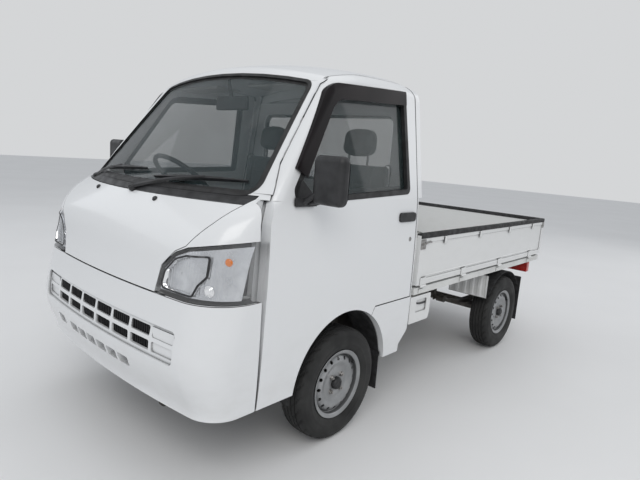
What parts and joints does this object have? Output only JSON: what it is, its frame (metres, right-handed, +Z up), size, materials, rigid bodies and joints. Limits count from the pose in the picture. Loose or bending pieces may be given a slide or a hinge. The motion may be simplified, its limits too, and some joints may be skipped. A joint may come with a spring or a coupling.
{
  "type": "kei truck",
  "caption": "Small forward-control truck with a two-door cab over the front wheels and a low drop-side bed that lets down on three sides.",
  "frame": {"origin": "on the ground at the middle of the overall length and width", "axes": "+X to the vehicle's left, +Y to its rear, +Z up; the cab faces -Y"},
  "size_m": [1.828, 3.394, 1.785],
  "materials": {
    "white_paint": "gloss",
    "black_plastic": "satin",
    "smoked_plastic": "gloss",
    "clear_glass": "polished",
    "lamp_lens": "polished",
    "red_lens": "gloss",
    "seat_fabric": "matte",
    "grey_plastic": "matte",
    "frame_paint": "satin",
    "cast_metal": "rough",
    "bare_steel": "satin",
    "alloy": "cast",
    "silver_paint": "satin",
    "tyre_rubber": "matte",
    "black_rubber": "matte"
  },
  "bodies": {
    "chassis": {"cab_side_left": "white_paint", "cab_side_right": "white_paint", "cab_roof": "white_paint", "cab_back_wall": "white_paint", "windshield": "clear_glass", "rear_window": "clear_glass", "front_panel": "white_paint", "cowl": "black_plastic", "headlamps": "lamp_lens", "front_bumper": "white_paint", "grille": "white_paint", "seats": "seat_fabric", "dashboard": "grey_plastic", "cabin_mirror": "black_plastic", "engine": "cast_metal", "radiator": "alloy", "fuel_tank": "frame_paint", "exhaust": "bare_steel", "wipers": "black_plastic", "cab_floor": "white_paint", "frame_rails": "frame_paint", "bed_floor": "white_paint", "guard_frame": "white_paint", "mudguards": "black_rubber", "filler_panels": "white_paint", "rear_axle": "cast_metal", "leaf_springs": "frame_paint", "front_suspension": "frame_paint", "tail_lamps": "red_lens"},
    "door_left": {"door_left": "white_paint", "door_glass_left": "clear_glass", "door_handle_left": "black_plastic", "rain_visor_left": "smoked_plastic", "door_mirror_left": "black_plastic"},
    "gate_left": {"gate_left": "white_paint", "gate_rail_left": "black_rubber"},
    "knuckle_left": {"knuckle_left": "cast_metal"},
    "wheel_front_left": {"rim_front_left": "silver_paint", "tyre_front_left": "tyre_rubber"},
    "wheel_rear_left": {"rim_rear_left": "silver_paint", "tyre_rear_left": "tyre_rubber"},
    "door_right": {"door_right": "white_paint", "door_glass_right": "clear_glass", "door_handle_right": "black_plastic", "rain_visor_right": "smoked_plastic", "door_mirror_right": "black_plastic"},
    "gate_right": {"gate_right": "white_paint", "gate_rail_right": "black_rubber"},
    "knuckle_right": {"knuckle_right": "cast_metal"},
    "wheel_front_right": {"rim_front_right": "silver_paint", "tyre_front_right": "tyre_rubber"},
    "wheel_rear_right": {"rim_rear_right": "silver_paint", "tyre_rear_right": "tyre_rubber"},
    "tailgate": {"tailgate": "white_paint", "tailgate_rail": "black_rubber"},
    "steering": {"steering_wheel": "black_plastic"}
  },
  "joints": [
    {"name": "door_left_hinge", "type": "hinge", "parent": "chassis", "child": "door_left", "pos_m": [0.729, -1.35, 0.75], "axis": [0, 0, -1], "range_deg": [0, 68]},
    {"name": "gate_left_hinge", "type": "hinge", "parent": "chassis", "child": "gate_left", "pos_m": [0.7315, 0.7, 0.658], "axis": [0, 1, 0], "range_deg": [0, 170]},
    {"name": "steer_left", "type": "hinge", "parent": "chassis", "child": "knuckle_left", "pos_m": [0.605, -0.8475, 0.271], "axis": [0, 0, 1], "range_deg": [-35, 35]},
    {"name": "wheel_front_left_spin", "type": "hinge", "parent": "knuckle_left", "child": "wheel_front_left", "pos_m": [0.6525, -0.8475, 0.271], "axis": [1, 0, 0], "continuous": true},
    {"name": "wheel_rear_left_spin", "type": "hinge", "parent": "chassis", "child": "wheel_rear_left", "pos_m": [0.6525, 1.0525, 0.271], "axis": [1, 0, 0], "continuous": true},
    {"name": "door_right_hinge", "type": "hinge", "parent": "chassis", "child": "door_right", "pos_m": [-0.729, -1.35, 0.75], "axis": [0, 0, 1], "range_deg": [0, 68]},
    {"name": "gate_right_hinge", "type": "hinge", "parent": "chassis", "child": "gate_right", "pos_m": [-0.7315, 0.7, 0.658], "axis": [0, -1, 0], "range_deg": [0, 170]},
    {"name": "steer_right", "type": "hinge", "parent": "chassis", "child": "knuckle_right", "pos_m": [-0.605, -0.8475, 0.271], "axis": [0, 0, 1], "range_deg": [-35, 35]},
    {"name": "wheel_front_right_spin", "type": "hinge", "parent": "knuckle_right", "child": "wheel_front_right", "pos_m": [-0.6525, -0.8475, 0.271], "axis": [1, 0, 0], "continuous": true},
    {"name": "wheel_rear_right_spin", "type": "hinge", "parent": "chassis", "child": "wheel_rear_right", "pos_m": [-0.6525, 1.0525, 0.271], "axis": [1, 0, 0], "continuous": true},
    {"name": "tailgate_hinge", "type": "hinge", "parent": "chassis", "child": "tailgate", "pos_m": [0, 1.6915, 0.658], "axis": [-1, 0, 0], "range_deg": [0, 170]},
    {"name": "steering_wheel_turn", "type": "hinge", "parent": "chassis", "child": "steering", "pos_m": [-0.355, -1.035, 1.15], "axis": [0, 0.6428, 0.766], "range_deg": [-600, 600]}
  ],
  "couplings": [
    {"joint": "steer_right", "follows": "steer_left", "ratio": 1},
    {"joint": "steering_wheel_turn", "follows": "steer_left", "ratio": 17}
  ]
}
